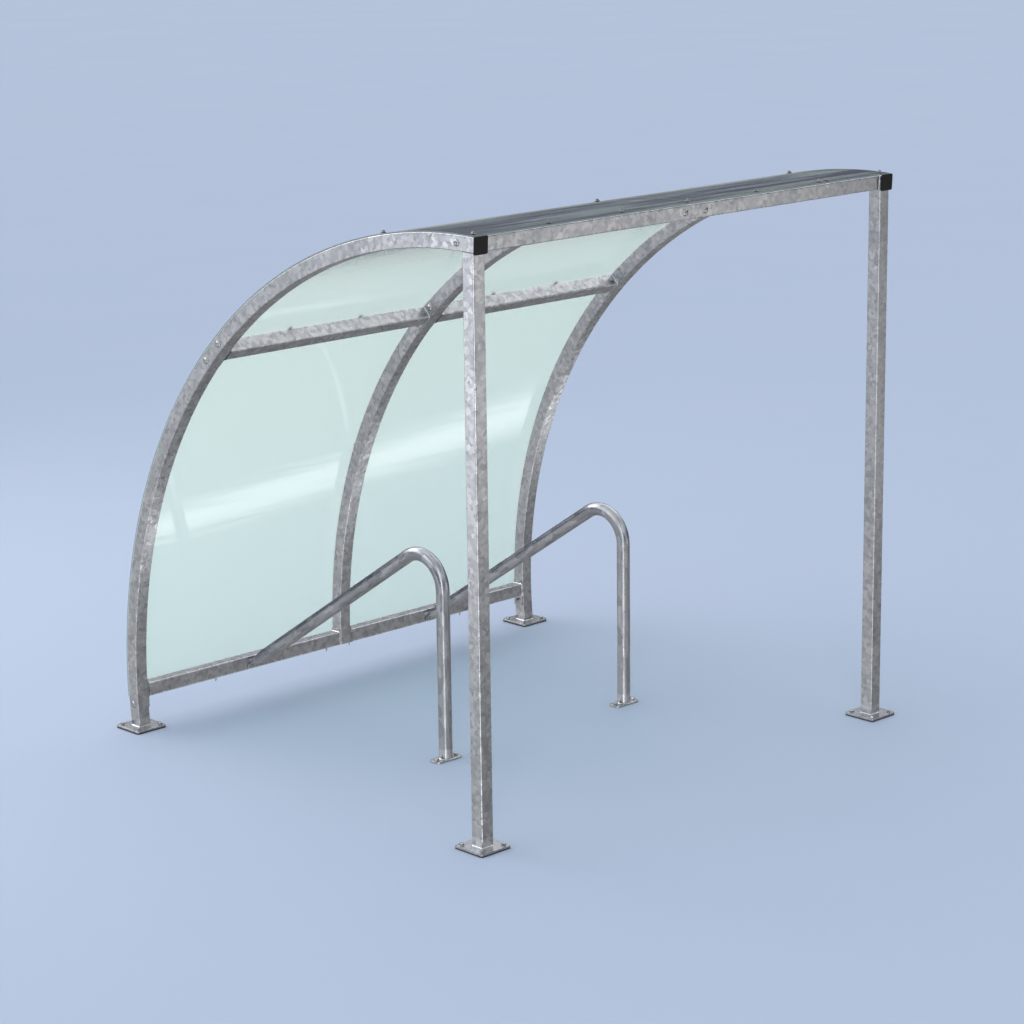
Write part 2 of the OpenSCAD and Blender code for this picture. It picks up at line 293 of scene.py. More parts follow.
def edgeMaterial(name, look):
    # the saw's fine scratches scatter the light that runs inside the sheet to its edge
    material, tree, place, out = newMaterial(name)
    scratches = addNode(tree, "ShaderNodeTexNoise", {"Scale": perMetre(look["grain"]), "Detail": 2.0},
                        {"Vector": (place, "Object")})
    bump = addNode(tree, "ShaderNodeBump", {"Strength": 0.5, "Distance": look["depth"]},
                   {"Height": (scratches, "Fac")})
    plastic = addNode(tree, "ShaderNodeBsdfPrincipled",
                      {"Base Color": linear(look["colour"]), "Roughness": look["rough"],
                       "Transmission Weight": look["through"]}, {"Normal": (bump, "Normal")})
    tree.links.new(plastic.outputs["BSDF"], out.inputs["Surface"])
    return material


galvanised = galvanisedSteel("galvanisedSteelSpangled", zincCoat)
# the same zinc on round tube, drawn out into streaks along the bent tube and a little darker
tubeCoat = dict(zincCoat, drawn=(1, 0.12, 0.12), spangle=6, feather=4, dark="#767a82", light="#c4c7cc",
                lean=0.04, smooth=0.22, rough=0.36)
# and on the small flat plates, which come out of the bath smooth and mirror the room more clearly
plateCoat = dict(zincCoat, dark="#8d9096", light="#bdc0c4", lean=0.01, smooth=0.2, rough=0.26)
galvanisedTube = galvanisedSteel("galvanisedRoundTube", tubeCoat)
galvanisedPlate = galvanisedSteel("galvanisedFlatPlate", plateCoat)
plated = grainyMaterial("zincPlatedFastener", platedZinc, metallic=1.0)
capBlack = grainyMaterial("mouldedPolyethylene", capPlastic)
rubberBlack = grainyMaterial("cutRubber", padRubber, second=padRubber["bloom"])
clearPlastic = sheetMaterial("extrudedClearSheet", clearSheet)
sawnPlastic = edgeMaterial("sawnSheetEdge", sawnEdge)
print("materials made")


# Making pieces

def finishPiece(bm, name, slot, *materials, sharp=35):
    # a finished piece: outward faces, smooth where it bends and crisp where it is cut
    bmesh.ops.recalc_face_normals(bm, faces=bm.faces)
    mesh = bpy.data.meshes.new(name)
    bm.to_mesh(mesh)
    bm.free()
    for material in materials:
        mesh.materials.append(material)
    mesh.shade_smooth()
    mesh.set_sharp_from_angle(angle=math.radians(sharp))
    piece = bpy.data.objects.new(name, mesh)
    bpy.context.scene.collection.objects.link(piece)
    flat = piece.modifiers.new("flatSides", "WEIGHTED_NORMAL")   # flat sides stay flat beside round corners
    flat.keep_sharp = True
    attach(piece, "root")
    return piece


def shapeWith(verts):
    # all vertices of the shape that these belong to
    found, waiting = set(verts), list(verts)
    while waiting:
        for edge in waiting.pop().link_edges:
            for v in edge.verts:
                if v not in found:
                    found.add(v)
                    waiting.append(v)
    return list(found)


def turned(bm, outline, steps, place):
    # a turned shape: half its outline, as radius and height, spun about Z and then put in place
    verts = [bm.verts.new((r, 0, h)) for r, h in outline]
    edges = [bm.edges.new(pair) for pair in zip(verts, verts[1:])]
    bmesh.ops.spin(bm, geom=verts + edges, cent=(0, 0, 0), axis=(0, 0, 1), dvec=(0, 0, 0),
                   angle=2 * math.pi, steps=steps, use_merge=True, use_duplicate=False)
    made = shapeWith(verts)
    bmesh.ops.remove_doubles(bm, verts=made, dist=1e-6)
    made = shapeWith([v for v in verts if v.is_valid])
    bmesh.ops.transform(bm, matrix=place, verts=made)


def hexHead(bm, across, height, place, chamfer=0.12):
    radius = across / math.sqrt(3)
    made = bmesh.ops.create_cone(bm, cap_ends=True, segments=6, radius1=radius, radius2=radius, depth=height)
    verts = made["verts"]
    bmesh.ops.translate(bm, vec=(0, 0, height / 2), verts=verts)
    rim = {e for v in verts if v.co.z > height / 2 for e in v.link_edges
           if all(w.co.z > height / 2 for w in e.verts)}
    bevelled = bmesh.ops.bevel(bm, geom=list(rim), offset=across * chamfer, offset_type="OFFSET", segments=2,
                               profile=0.5, affect="EDGES", material=-1)
    bmesh.ops.transform(bm, matrix=place, verts=shapeWith(bevelled["verts"]))


def roundedSquare(bm, width, radius, segments):
    # a flat square with round corners
    made = bmesh.ops.create_grid(bm, x_segments=1, y_segments=1, size=0.5)
    bmesh.ops.scale(bm, vec=(width, width, 1), verts=made["verts"])
    bevelled = bmesh.ops.bevel(bm, geom=made["verts"], offset=radius, offset_type="OFFSET",
                               segments=segments, profile=0.5, affect="VERTICES", material=-1)
    return bevelled["verts"][0].link_faces[0]


# Straight tubes and plates: the frame's own shapes, merged; the plates' and pads' edges are rounded

softEdge = {"plate": 0.0009, "pad": 0.0007, "cornerAngle": 50}


def softened(node, newName, width, slot, material):
    bm = bmesh.new()
    bm.from_mesh(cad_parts[node].data)
    bmesh.ops.remove_doubles(bm, verts=bm.verts, dist=1e-5)
    bmesh.ops.dissolve_limit(bm, angle_limit=math.radians(0.5), verts=bm.verts, edges=bm.edges)
    if width:
        corners = [e for e in bm.edges if e.is_manifold
                   and e.calc_face_angle(0) > math.radians(softEdge["cornerAngle"])]
        bmesh.ops.bevel(bm, geom=corners, offset=width, offset_type="OFFSET", segments=2, profile=0.5,
                        affect="EDGES", material=-1, clamp_overlap=True)
    bmesh.ops.triangulate(bm, faces=bm.faces)
    piece = finishPiece(bm, newName, slot, material)
    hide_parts(node)


for node in ("post_left", "post_right", "front_beam", "purlin_left", "purlin_right", "rail_left",
             "rail_right"):
    softened(node, node + "_tube", 0, "galvanised_steel", galvanised)
for node in sorted(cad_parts):
    if "plate" in node or "flange" in node or "hoop_foot" in node:
        softened(node, node + "_softened", softEdge["plate"], "galvanised_steel", galvanisedPlate)
    if "pad" in node:
        softened(node, node + "_softened", softEdge["pad"], "pad_rubber", rubberBlack)
print("tubes and plates softened")


# Arches: a square tube with round corners, bent to a circle

archTube = {"cornerSteps": 4, "steps": 120, "reach": 0.007}      # reach: how far it passes the post
frontEnd = math.acos((postPlace.y - half - archTube["reach"] - archCentre.y) / archRadius)


def bentTube(bm, x, start, stop):
    # a square tube along the arch between two angles, closed at both ends
    face = roundedSquare(bm, tube, cornerRadius, archTube["cornerSteps"])
    turn = onArch(start, x) @ Matrix.Rotation(math.pi / 2, 4, "X")
    bmesh.ops.transform(bm, matrix=turn, verts=face.verts[:])
    bmesh.ops.spin(bm, geom=[face], cent=archCentre, axis=(1, 0, 0), dvec=(0, 0, 0),
                   angle=stop - start, steps=archTube["steps"], use_merge=False, use_duplicate=False)


def cutOff(bm, place, direction):
    # cuts away what lies beyond a plane and closes the cut
    bmesh.ops.bisect_plane(bm, geom=bm.verts[:] + bm.edges[:] + bm.faces[:], plane_co=place,
                           plane_no=direction, clear_outer=True)
    bmesh.ops.holes_fill(bm, edges=[e for e in bm.edges if e.is_boundary])


def sideArch(x, name, node):
    start = -math.asin((archCentre.z - footTop + half) / archRadius)      # a little below its foot plate
    bm = bmesh.new()
    bentTube(bm, x, start, frontEnd)
    cutOff(bm, (0, 0, footTop), (0, 0, -1))
    piece = finishPiece(bm, name, "galvanised_steel", galvanised)
    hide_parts(node)


def middleArch():
    start = railAngle - half / archRadius
    bm = bmesh.new()
    bentTube(bm, 0, start, beamAngle)
    flange = onArch(beamAngle, along=-half - endPlate)
    cutOff(bm, flange.translation, flange.to_3x3().col[1])
    piece = finishPiece(bm, "archMiddleTube", "galvanised_steel", galvanised)
    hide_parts("arch_middle")


sideArch(-bayWidth, "archLeftTube", "arch_left")
sideArch(bayWidth, "archRightTube", "arch_right")
middleArch()
print("arches bent")


# Clear sheets: one bent sheet for each bay, with a sawn edge all round

sheet = {"steps": 160, "cornerRound": 0.0004, "seat": 0.0004}      # seat: gap over the arches


def bentSheet(node, name):
    low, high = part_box(node)
    inside = archRadius + half + sheet["seat"]
    outside = high.z - archCentre.z
    start = math.asin((low.z - archCentre.z) / outside)
    stop = beamAngle + half / archRadius
    bm = bmesh.new()
    made = bmesh.ops.create_grid(bm, x_segments=1, y_segments=1, size=0.5)
    bmesh.ops.scale(bm, vec=(outside - inside, high.x - low.x, 1), verts=made["verts"])
    middle = (inside + outside) / 2 - archRadius
    turn = onArch(start, (low.x + high.x) / 2, out=middle) @ Matrix.Rotation(math.pi / 2, 4, "X")
    bmesh.ops.transform(bm, matrix=turn, verts=made["verts"])
    bmesh.ops.spin(bm, geom=bm.faces[:], cent=archCentre, axis=(1, 0, 0), dvec=(0, 0, 0),
                   angle=stop - start, steps=sheet["steps"], use_merge=False, use_duplicate=False)
    bmesh.ops.recalc_face_normals(bm, faces=bm.faces)
    rims = [e for e in bm.edges if e.calc_face_angle(0) > 1]
    bmesh.ops.bevel(bm, geom=rims, offset=sheet["cornerRound"], offset_type="OFFSET", segments=1,
                    profile=0.5, affect="EDGES", material=-1)
    for face in bm.faces:
        # faces that don't look along the radius are the sawn edge
        fromCentre = face.calc_center_median() - archCentre
        fromCentre.x = 0
        if abs(face.normal.dot(fromCentre.normalized())) < 0.9:
            face.material_index = 1
    piece = finishPiece(bm, name, "clear_sheet", clearPlastic, sawnPlastic)
    piece.visible_glossy = False      # the steel mirrors the room through the clear sheets
    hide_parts(node)


bentSheet("glazing_left", "clearSheetLeft")
bentSheet("glazing_right", "clearSheetRight")
print("sheets bent")


# Hoop stands: one round tube, bent over and pressed flat where it is bolted to the rail

hoop = {"diameter": 0.0483, "bend": 0.115, "around": 40, "bendSteps": 28, "press": 0.062, "pressSteps": 12,
        "pressCurve": 2.6, "flatWidth": 0.074, "flatThickness": 0.006, "flatStart": 0.004,
        "flatLength": 0.013}


def hoopTube(side):
    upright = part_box("hoop_upright_" + side)
    legX = (upright[0].x + upright[1].x) / 2
    legY = upright[0].y + hoop["diameter"] / 2
    topZ = upright[1].z - hoop["diameter"] / 2
    bendCentre = Vector((legX, legY + hoop["bend"], topZ - hoop["bend"]))
    aim = onArch(railAngle, legX, out=-half - hoop["flatThickness"]).translation - bendCentre
    run = math.sqrt(aim.y ** 2 + aim.z ** 2 - hoop["bend"] ** 2)
    slope = math.atan2(hoop["bend"], run) - math.atan2(aim.z, aim.y)
    down = Vector((0, math.cos(slope), -math.sin(slope)))
    bm = bmesh.new()
    foot = bmesh.ops.create_circle(bm, cap_ends=True, segments=hoop["around"], radius=hoop["diameter"] / 2)
    bmesh.ops.translate(bm, vec=(legX, legY, upright[0].z), verts=foot["verts"])
    lead = bm.faces[:][0]

    def runOn(vec, closed=False):
        # extrudes the leading face and moves it on
        nonlocal lead
        made = bmesh.ops.extrude_face_region(bm, geom=[lead])
        if not closed:
            bmesh.ops.delete(bm, geom=[lead], context="FACES_ONLY")
        lead = [g for g in made["geom"] if isinstance(g, bmesh.types.BMFace)][0]
        bmesh.ops.translate(bm, vec=vec, verts=lead.verts[:])

    runOn((0, 0, bendCentre.z - upright[0].z), closed=True)      # the tube's foot keeps its face
    turn = math.pi / 2 + slope
    for step in range(hoop["bendSteps"]):
        runOn((0, 0, 0))
        bmesh.ops.rotate(bm, cent=bendCentre, matrix=Matrix.Rotation(-turn / hoop["bendSteps"], 3, "X"),
                         verts=lead.verts[:])
    runOn(down * (run - hoop["press"]))
    pressed = onArch(railAngle, legX, out=-half - hoop["flatThickness"] / 2)
    start = lead.calc_center_median()
    target = pressed.translation - pressed.to_3x3().col[1] * hoop["flatStart"]
    widen = hoop["flatWidth"] / hoop["diameter"] - 1
    flatten = hoop["flatThickness"] / hoop["diameter"] - 1
    across, thick = Vector((1, 0, 0)), Vector((0, math.sin(slope), math.cos(slope)))
    towards = target - start
    base = [v.co - start for v in lead.verts]
    flatUp = -pressed.to_3x3().col[0]
    for step in range(1, hoop["pressSteps"] + 1):
        share = step / hoop["pressSteps"]
        ease = share ** hoop["pressCurve"]
        runOn((0, 0, 0))
        centre = start + towards * share
        normal = thick.lerp(flatUp, ease).normalized()
        for v, offset in zip(lead.verts, base):
            wide = offset.dot(across) * (1 + ease * widen)
            high = offset.dot(thick) * (1 + ease * flatten)
            v.co = centre + across * wide + normal * high
    runOn(-pressed.to_3x3().col[1] * hoop["flatLength"])
    piece = finishPiece(bm, "hoopTube_" + side, "galvanised_steel", galvanisedTube)
    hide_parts("hoop_upright_" + side, "hoop_slope_" + side, "hoop_end_" + side)
    return legX, legY


hoopPlaces = [hoopTube("left"), hoopTube("right")]
print("hoops bent")


# End caps: a moulded square cap with a soft rim on the front ends of the side arches

cap = {"lip": 0.004, "thickness": 0.005, "corner": 0.006, "edge": 0.0018}


def endCap(node, name, x):
    place = onArch(frontEnd, x) @ Matrix.Rotation(-math.pi / 2, 4, "X")
    bm = bmesh.new()
    face = roundedSquare(bm, tube + 2 * cap["lip"], cap["corner"], 5)
    made = bmesh.ops.extrude_face_region(bm, geom=[face])
    front = [g for g in made["geom"] if isinstance(g, bmesh.types.BMFace)][0]
    bmesh.ops.translate(bm, vec=(0, 0, cap["thickness"]), verts=front.verts[:])
    bmesh.ops.recalc_face_normals(bm, faces=bm.faces)
    bmesh.ops.bevel(bm, geom=front.edges[:], offset=cap["edge"], offset_type="OFFSET", segments=3,
                    profile=0.5, affect="EDGES", material=-1)
    bmesh.ops.transform(bm, matrix=place, verts=bm.verts)
    piece = finishPiece(bm, name, "cap_plastic", capBlack)
    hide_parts(node)


endCap("end_cap_left", "endCapLeft", -bayWidth)
endCap("end_cap_right", "endCapRight", bayWidth)
print("caps made")


# Fasteners, true to scale

dome = {"radius": 0.0122, "rise": 0.0068, "offset": 0.048}      # offset: from the cross tube's axis
nut = {"across": 0.017, "height": 0.0085, "washer": 0.011, "washerThick": 0.002, "thread": 0.005,
       "stub": 0.0045}
roofScrew = {"across": 0.0092, "height": 0.0062, "flange": 0.0075, "washer": 0.009, "rubber": 0.0024,
             "edges": (-bayWidth, -0.012, bayWidth),                         # across, into the arches
             "between": [bayWidth * n / 3 for n in (-2, -1, 1, 2)],          # and into the cross tubes
             "extra": 0.69,                                                  # one more in the front row
             "roofRow": -0.5, "backRow": math.radians(24), "purlinShift": 0.0115}
anchor = {"across": 0.015, "height": 0.0065, "flange": 0.0115, "flangeThick": 0.0016, "pitch": 0.096,
          "hoopPitch": 0.092}
screwTip = {"radius": 0.0042, "length": 0.021, "point": 0.012, "places": (-0.08, 0.036, -0.62, 0.62)}
hoopBolt = {"across": 0.016, "height": 0.007, "washer": 0.011, "washerThick": 0.002, "down": 0.006}


def domeHead(bm, place):
    r, h = dome["radius"], dome["rise"]
    outline = [(0, h), (r * 0.42, h * 0.93), (r * 0.72, h * 0.72), (r * 0.92, h * 0.4), (r, h * 0.12),
               (r, 0), (0, 0)]
    turned(bm, outline, 20, place)


def washerAndNut(bm, place):
    w, t = nut["washer"], nut["washerThick"]
    turned(bm, [(0, t), (w * 0.96, t), (w, t * 0.7), (w, 0), (0, 0)], 20, place)
    hexHead(bm, nut["across"], nut["height"], place @ Matrix.Translation((0, 0, t)))
    top = t + nut["height"]
    r = nut["thread"]
    turned(bm, [(0, top + nut["stub"]), (r * 0.8, top + nut["stub"]), (r, top + nut["stub"] * 0.7),
                (r, top - 0.001), (0, top - 0.001)], 14, place)


def archBolts():
    bm = bmesh.new()
    joints = [(purlinAngle, dome["offset"]), (purlinAngle, -dome["offset"]), (railAngle, -dome["offset"]),
              (beamAngle, -dome["offset"])]
    for side in (-1, 1):
        for angle, along in joints:
            outer = onArch(angle, side * (bayWidth + half), along=along).translation
            inner = onArch(angle, side * (innerX - endPlate), along=along).translation
            domeHead(bm, facing(outer, (side, 0, 0)))
            washerAndNut(bm, facing(inner, (-side, 0, 0)))
    for along in (dome["offset"], -dome["offset"]):
        for side in (-1, 1):
            # through both end plates and the middle arch, with the head on the left
            inner = onArch(purlinAngle, side * (half + endPlate), along=along).translation
            addEnd = domeHead if side < 0 else washerAndNut
            addEnd(bm, facing(inner, (side, 0, 0)))
    beamTurn = onArch(beamAngle).to_3x3()
    for side in (-1, 1):
        front = onArch(beamAngle, side * dome["offset"], along=half).translation
        back = onArch(beamAngle, side * dome["offset"], along=-half - endPlate).translation
        domeHead(bm, facing(front, beamTurn.col[1]))
        washerAndNut(bm, facing(back, -beamTurn.col[1]))
    finishPiece(bm, "archBolts", "galvanised_steel", plated)


def roofScrews():
    steel, rubber = bmesh.new(), bmesh.new()
    sheetTop = cadBox[1].z - archCentre.z - archRadius
    roofAngle = math.acos((roofScrew["roofRow"] - archCentre.y) / archRadius)
    spots = [(beamAngle, x) for x in (*roofScrew["edges"], *roofScrew["between"], roofScrew["extra"])]
    spots += [(angle, x) for angle in (roofAngle, roofScrew["backRow"]) for x in roofScrew["edges"]]
    spots += [(angle, x) for angle in (purlinAngle + roofScrew["purlinShift"], railAngle)
              for x in roofScrew["between"]]
    for angle, x in spots:
        place = onArch(angle, x, out=sheetTop) @ Matrix.Rotation(math.pi / 2, 4, "Y")
        w, t, f = roofScrew["washer"], roofScrew["rubber"], roofScrew["flange"]
        turned(rubber, [(0, t), (w * 0.94, t), (w * 0.98, 0), (0, 0)], 18, place)
        turned(steel, [(0, t + 0.0012), (f * 0.7, t + 0.0012), (w, t + 0.0004), (w, t), (0, t)], 18, place)
        hexHead(steel, roofScrew["across"], roofScrew["height"],
                place @ Matrix.Translation((0, 0, t + 0.0011)))
    finishPiece(steel, "roofScrews", "galvanised_steel", plated)
    finishPiece(rubber, "roofScrewSeals", "pad_rubber", rubberBlack)


def footAnchors():
    bm = bmesh.new()
    spots = []
    reach, hoopReach = anchor["pitch"] / 2, anchor["hoopPitch"] / 2
    for node in ("base_plate_post_left", "base_plate_post_right", "base_plate_arch_left",
                 "base_plate_arch_right"):
        low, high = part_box(node)
        middle = (low + high) / 2
        spots += [Vector((middle.x + sx * reach, middle.y + sy * reach, high.z))
                  for sx in (-1, 1) for sy in (-1, 1)]
    for node in ("hoop_foot_left", "hoop_foot_right"):
        low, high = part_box(node)
        middle = (low + high) / 2
        spots += [Vector((middle.x + sx * hoopReach, middle.y, high.z)) for sx in (-1, 1)]
    for index, spot in enumerate(spots):
        place = Matrix.Translation(spot) @ Matrix.Rotation(index * 0.7, 4, "Z")      # no two turned alike
        f, t = anchor["flange"], anchor["flangeThick"]
        turned(bm, [(0, t), (f * 0.9, t), (f, t * 0.6), (f, 0), (0, 0)], 20, place)
        hexHead(bm, anchor["across"], anchor["height"], place @ Matrix.Translation((0, 0, t)), chamfer=0.16)
    finishPiece(bm, "groundAnchors", "galvanised_steel", plated)


def screwTips():
    # self-drilling screws that hold the sheet's lower edge stand out below the rail
    bm = bmesh.new()
    r, length = screwTip["radius"], screwTip["length"]
    for x in screwTip["places"]:
        place = onArch(railAngle, x, along=-half).translation
        turned(bm, [(r, 0), (r, length - screwTip["point"]), (0, length)], 12, facing(place, (0, 0, -1)))
    finishPiece(bm, "railScrewTips", "galvanised_steel", plated)


def hoopBolts():
    bm = bmesh.new()
    w, t = hoopBolt["washer"], hoopBolt["washerThick"]
    for legX, _ in hoopPlaces:
        face = onArch(railAngle, legX, out=-half - hoop["flatThickness"], along=-hoopBolt["down"])
        place = facing(face.translation, -face.to_3x3().col[0])
        turned(bm, [(0, t), (w - 0.0005, t), (w, t * 0.7), (w, 0), (0, 0)], 20, place)
        hexHead(bm, hoopBolt["across"], hoopBolt["height"], place @ Matrix.Translation((0, 0, t)))
    finishPiece(bm, "hoopBolts", "galvanised_steel", plated)


archBolts()
roofScrews()
footAnchors()
screwTips()
hoopBolts()
print("fasteners made")


# Fillet welds: where the uprights stand on their plates and the cross tubes meet their end plates

weld = {"leg": 0.002, "ripple": 0.0004, "wave": 3.0, "pitch": 0.004}      # wave in mm


def filletWeld(bm, place):
    # a ring of weld around a square tube that stands on a plate, with the ripple of its passes
    leg = weld["leg"]
    cuts = int(tube / weld["pitch"])
    rings = []
    for out, up in ((0.0, leg), (leg * 0.62, leg * 0.55), (leg, 0.0)):
        face = roundedSquare(bm, tube + 2 * out, cornerRadius + out, 4)
        longest = [e for e in face.edges if e.calc_length() > tube / 2]
        bmesh.ops.subdivide_edges(bm, edges=longest, cuts=cuts)
        bmesh.ops.translate(bm, vec=(0, 0, up), verts=face.verts[:])
        rings.append(face)
    edges = [list(f.edges) for f in rings]
    loose = [v for f in rings for v in f.verts]
    bmesh.ops.delete(bm, geom=rings, context="FACES_ONLY")
    bmesh.ops.bridge_loops(bm, edges=edges[0] + edges[1])
    bmesh.ops.bridge_loops(bm, edges=edges[1] + edges[2])
    for v in loose:
        if v.co.z > 1e-5:
            v.co.z += noise.noise(v.co * perMetre(weld["wave"])) * weld["ripple"]
    bmesh.ops.transform(bm, matrix=place, verts=loose)


def welds():
    bm = bmesh.new()
    archFootY = (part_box("base_plate_arch_left")[0].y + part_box("base_plate_arch_left")[1].y) / 2
    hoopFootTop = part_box("hoop_foot_left")[1].z
    for side in (-1, 1):
        for y in (postPlace.y, archFootY):
            filletWeld(bm, Matrix.Translation((side * bayWidth, y, footTop)))
    outerEnds = ((-innerX + endPlate, 0), (innerX - endPlate, math.pi))
    middleEnds = ((-half - endPlate, math.pi), (half + endPlate, 0))
    for angle, ends in ((purlinAngle, outerEnds + middleEnds), (railAngle, outerEnds + middleEnds),
                        (beamAngle, outerEnds)):
        for x, turn in ends:
            filletWeld(bm, onArch(angle, x) @ Matrix.Rotation(turn, 4, "X"))
    r, leg = hoop["diameter"] / 2, weld["leg"]
    for legX, legY in hoopPlaces:
        turned(bm, [(r, leg), (r + leg * 0.6, leg * 0.55), (r + leg, 0)], 48,
               Matrix.Translation((legX, legY, hoopFootTop)))
    finishPiece(bm, "filletWelds", "galvanised_steel", galvanised, sharp=60)


welds()
print("welds made")


# Floor, light and camera

studio = {
    "floor": "#a5b3cb",
    "backdrop": "#aec1db",
    "floorSize": 170,                  # m, so that its edge is never near
    "aim": Vector((-0.156, -0.208, 0.850)),
    "distance": 10.2976,
    "azimuth": -43.715,
    "elevation": 13.786,
    "roll": -0.751,
    "lens": 103.35,
}


def paleFloor():
    # matt paint on board: even and soft, with no picture of the shelter in it
    material, tree, place, out = newMaterial("paintedBoardFloor")
    faint = addNode(tree, "ShaderNodeTexNoise", {"Scale": 0.8, "Detail": 3.0}, {"Vector": (place, "Object")})
    rough = addNode(tree, "ShaderNodeMapRange", {"To Min": 0.55, "To Max": 0.75}, {"Value": (faint, "Fac")})
    paint = addNode(tree, "ShaderNodeBsdfPrincipled",
                    {"Base Color": linear(studio["floor"]), "Specular IOR Level": 0.15},
                    {"Roughness": (rough, "Result")})
    tree.links.new(paint.outputs["BSDF"], out.inputs["Surface"])
    bm = bmesh.new()
    bmesh.ops.create_grid(bm, x_segments=1, y_segments=1, size=studio["floorSize"] / 2)
    mesh = bpy.data.meshes.new("studioFloor")
    bm.to_mesh(mesh)
    bm.free()
    mesh.materials.append(material)
    floor = bpy.data.objects.new("studioFloor", mesh)
    bpy.context.scene.collection.objects.link(floor)
    floor.visible_glossy = False      # steel mirrors the room's own light and dark bands


def softbox(name, place, target, width, height, watts, tint="#ffffff", spread=120):
    light = bpy.data.lights.new(name, "AREA")
    light.shape = "RECTANGLE"
    light.size, light.size_y = width, height
    light.energy = watts
    light.color = linear(tint)[:3]
    light.spread = math.radians(spread)
    lamp = bpy.data.objects.new(name, light)
    lamp.location = place
    lamp.rotation_euler = (Vector(target) - Vector(place)).to_track_quat("-Z", "Y").to_euler()
    lamp.visible_camera = False
    bpy.context.scene.collection.objects.link(lamp)


# What the steel and the sheets mirror
room = {
    # brightness by height, from straight down at -1 to straight up at 1
    "bands": [(-1.0, 0.42), (-0.76, 0.42), (-0.30, 0.56), (-0.10, 0.47), (0.0, 0.14), (0.30, 0.14),
              (0.42, 1.55), (0.70, 1.55), (0.80, 0.85), (1.0, 0.85)],
    "wall": (0.15, 0.2, 1.35),         # the far wall's height, half its width and how blue it is
    "ceilingFront": 0.68,              # the ceiling is brighter over the back: the sheets glow and the
    "ceilingBack": 1.32,               # steel that faces forward stays calm
    "leftWall": 1.4,                   # the wall on the left is the brighter one, which parts the two
    "rightWall": 0.72,                 # seen sides of every tube
    "lineHeight": -0.655,              # a bright line low in front, which the curved sheets mirror as a
    "lineWidth": 0.05,                 # soft band
    "lineGlow": 2.8,
    "stripWidth": 0.16,                # a tall narrow one at the front left corner, which draws a thin
    "stripGlow": 2.8,                  # bright line on every round corner
}


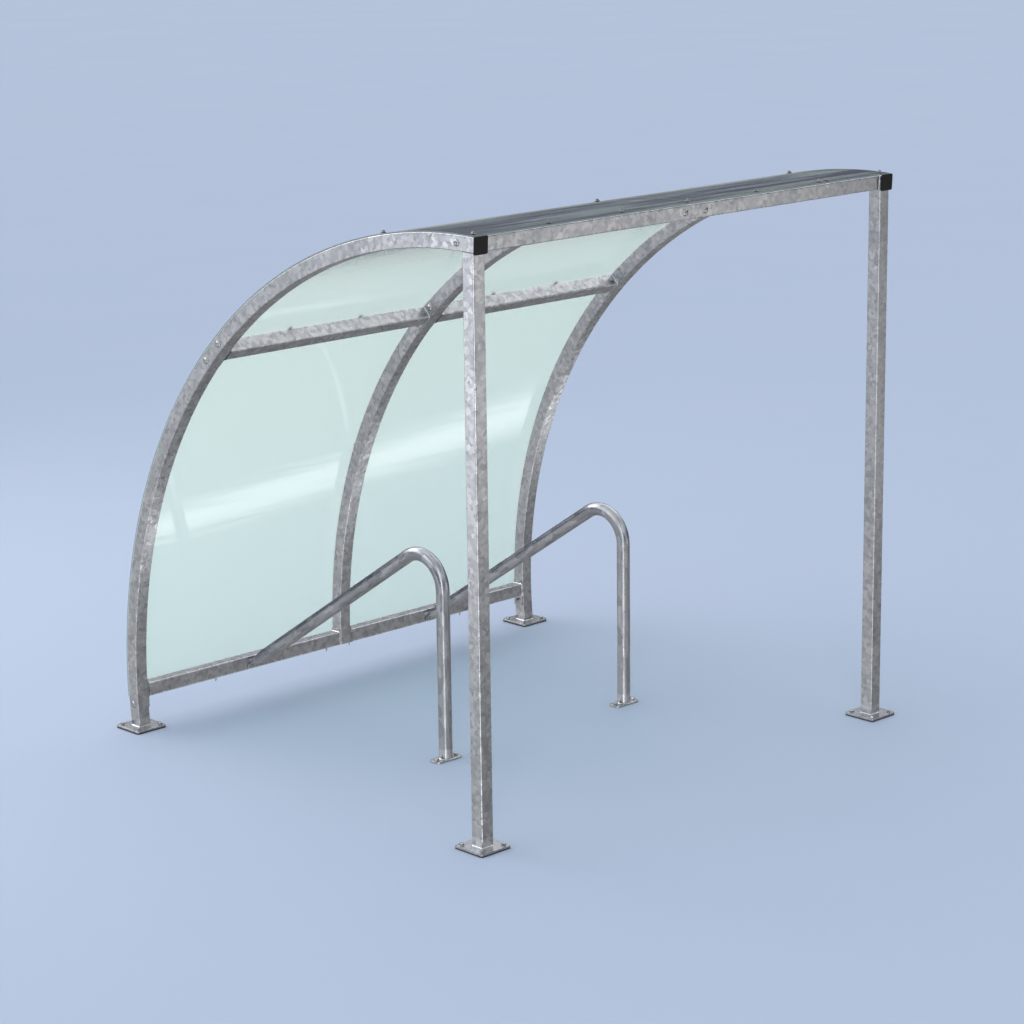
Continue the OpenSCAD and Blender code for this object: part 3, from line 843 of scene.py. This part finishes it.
def roomLight():
    world = bpy.data.worlds.new("studioRoom")
    world.use_nodes = True
    tree = world.node_tree
    tree.nodes.clear()
    place = addNode(tree, "ShaderNodeTexCoord")
    height = addNode(tree, "ShaderNodeSeparateXYZ", None, {"Vector": (place, "Generated")})
    ramp = addNode(tree, "ShaderNodeValToRGB")
    spread = addNode(tree, "ShaderNodeMapRange", {"From Min": -1.0, "From Max": 1.0},
                     {"Value": (height, "Z")})
    tree.links.new(spread.outputs["Result"], ramp.inputs["Fac"])
    bands = ramp.color_ramp
    bands.elements[0].position, bands.elements[1].position = 0.0, 1.0
    for z, _ in room["bands"][1:-1]:
        bands.elements.new((z + 1) / 2)
    wallHeight, wallReach, wallBlue = room["wall"]
    for element, (z, value) in zip(bands.elements, room["bands"]):
        bluish = 1.0 if abs(z - wallHeight) > wallReach else wallBlue
        element.color = (value * 0.985, value * (0.9 + bluish / 10), value * 1.01 * bluish, 1)
    fromLine = addNode(tree, "ShaderNodeMath", {"operation": "ADD", 1: -room["lineHeight"]},
                       {0: (height, "Z")})
    distance = addNode(tree, "ShaderNodeMath", {"operation": "ABSOLUTE"}, {0: (fromLine, "Value")})
    line = addNode(tree, "ShaderNodeMapRange",
                   {"interpolation_type": "SMOOTHSTEP", "From Max": room["lineWidth"],
                    "To Min": room["lineGlow"], "To Max": 0.0}, {"Value": (distance, "Value")})
    ahead = addNode(tree, "ShaderNodeMapRange", {"From Min": 0.05, "From Max": -0.15},
                    {"Value": (height, "Y")})
    low = addNode(tree, "ShaderNodeMath", {"operation": "MULTIPLY"},
                  {0: (line, "Result"), 1: (ahead, "Result")})
    beside = addNode(tree, "ShaderNodeVectorMath", {"operation": "DOT_PRODUCT", 1: (0.70, -0.72, 0)},
                     {0: (place, "Generated")})
    apart = addNode(tree, "ShaderNodeMath", {"operation": "ABSOLUTE"}, {0: (beside, "Value")})
    strip = addNode(tree, "ShaderNodeMapRange",
                    {"interpolation_type": "SMOOTHSTEP", "From Max": room["stripWidth"],
                     "To Min": room["stripGlow"], "To Max": 0.0}, {"Value": (apart, "Value")})
    towards = addNode(tree, "ShaderNodeVectorMath", {"operation": "DOT_PRODUCT", 1: (-0.72, -0.70, 0)},
                      {0: (place, "Generated")})
    reach = addNode(tree, "ShaderNodeMapRange", {"From Min": 0.45, "From Max": 0.75},
                    {"Value": (towards, "Value")})
    glow = addNode(tree, "ShaderNodeMath", {"operation": "MULTIPLY_ADD"},
                   {0: (strip, "Result"), 1: (reach, "Result"), 2: (low, "Value")})
    backward = addNode(tree, "ShaderNodeMapRange",
                       {"From Min": -0.45, "From Max": 0.35, "To Min": room["ceilingFront"],
                        "To Max": room["ceilingBack"]}, {"Value": (height, "Y")})
    leftward = addNode(tree, "ShaderNodeMapRange",
                       {"From Min": -0.6, "From Max": 0.6, "To Min": room["leftWall"],
                        "To Max": room["rightWall"]}, {"Value": (height, "X")})
    ceiling = addNode(tree, "ShaderNodeMapRange", {"From Min": 0.3, "From Max": 0.4},
                      {"Value": (height, "Z")})
    share = addNode(tree, "ShaderNodeMix", {"data_type": "FLOAT"},
                    {0: (ceiling, "Result"), 2: (leftward, "Result"), 3: (backward, "Result")})
    shaded = addNode(tree, "ShaderNodeVectorMath", {"operation": "SCALE"},
                     {0: (ramp, "Color"), "Scale": (share, 0)})
    total = addNode(tree, "ShaderNodeMix", {"data_type": "RGBA", "blend_type": "ADD", 0: 1.0},
                    {6: (shaded, "Vector"), 7: (glow, "Value")})
    walls = addNode(tree, "ShaderNodeBackground", None, {"Color": (total, 2)})
    # behind the floor's edge a plain backdrop of the floor's colour is seen instead of the room
    backdrop = addNode(tree, "ShaderNodeBackground", {"Color": linear(studio["backdrop"])})
    seen = addNode(tree, "ShaderNodeLightPath")
    sky = addNode(tree, "ShaderNodeMixShader", None,
                  {0: (seen, "Is Camera Ray"), 1: (walls, "Background"), 2: (backdrop, "Background")})
    addNode(tree, "ShaderNodeOutputWorld", None, {"Surface": (sky, "Shader")})
    bpy.context.scene.world = world


def placeCamera():
    az, el, roll = (math.radians(studio[k]) for k in ("azimuth", "elevation", "roll"))
    forward = Vector((-math.sin(az) * math.cos(el), math.cos(az) * math.cos(el), -math.sin(el)))
    right = Vector((math.cos(az), math.sin(az), 0))
    up = right.cross(forward)
    turnedRight = right * math.cos(roll) + up * math.sin(roll)
    turnedUp = up * math.cos(roll) - right * math.sin(roll)
    camera = bpy.data.objects.new("studioCamera", bpy.data.cameras.new("studioCamera"))
    camera.data.lens = studio["lens"]
    camera.data.sensor_width = 36
    camera.data.clip_end = 200
    basis = Matrix((turnedRight, turnedUp, -forward)).transposed().to_4x4()
    camera.matrix_world = Matrix.Translation(studio["aim"] - forward * studio["distance"]) @ basis
    bpy.context.scene.collection.objects.link(camera)
    bpy.context.scene.camera = camera


paleFloor()
roomLight()
softbox("softboxLeft", (-3.2, 0.9, 0.95), (-0.9, -0.95, 1.2), 1.3, 1.7, 2.7, "#fbfaff")
softbox("softboxFarLeft", (-5.0, 3.4, 1.6), (-0.9, -0.2, 0.8), 3.8, 2.8, 5, "#f2f5ff")
softbox("softboxFront", (1.7, -3.6, 1.05), (0.0, -0.9, 1.3), 3.2, 1.9, 5.5, "#fffaf6")
softbox("softboxBack", (-1.6, 4.8, 3.6), (0, 0.2, 1.0), 3.6, 3.0, 58, "#fff3e6", 150)
softbox("softboxTop", (-0.4, 0.4, 5.0), (0, 0, 0), 3.0, 3.0, 8, "#fff3e6", 180)
softbox("stripCorner", (-4.0, -3.7, 1.25), (-0.6, -0.6, 1.1), 0.5, 2.2, 3)
placeCamera()
bpy.context.scene.view_settings.view_transform = "Standard"
print("studio set")
